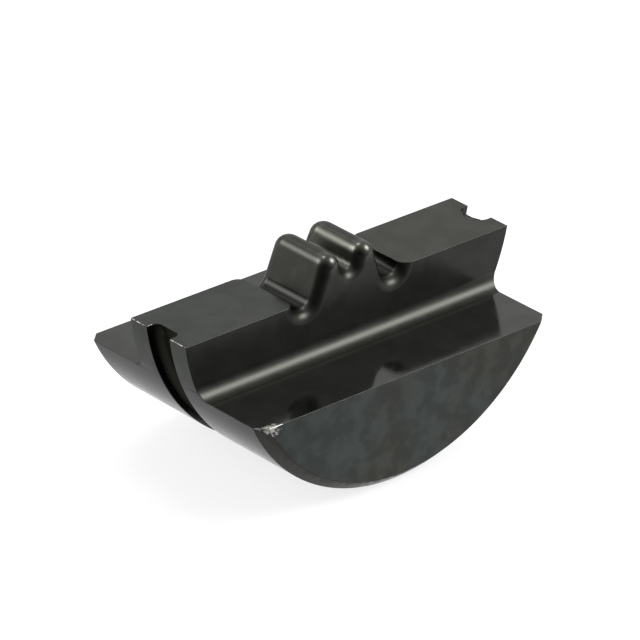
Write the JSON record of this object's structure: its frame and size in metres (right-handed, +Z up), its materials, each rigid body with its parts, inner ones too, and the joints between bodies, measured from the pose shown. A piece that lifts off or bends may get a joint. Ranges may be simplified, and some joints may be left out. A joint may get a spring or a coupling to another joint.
{
  "type": "indent crimp die",
  "caption": "Half-round hardened steel crimping die: a stepped rib with a rounded W-shaped indentor that dents cable lugs and sleeves, and a retaining groove around its round back.",
  "frame": {"origin": "under the middle of the die, at the lowest point of its round back, on the surface it stands on", "axes": "+Z up, the way the indentor's teeth point; +X along the rib, across the teeth; +Y along the axis of the round back, through the die's thickness"},
  "size_m": [0.0414, 0.0244, 0.021],
  "materials": {
    "steel": "black oxide on hardened steel, semi-gloss, lightly worn at the edges"
  },
  "bodies": {
    "root": {"indent_die": "steel"}
  },
  "joints": []
}
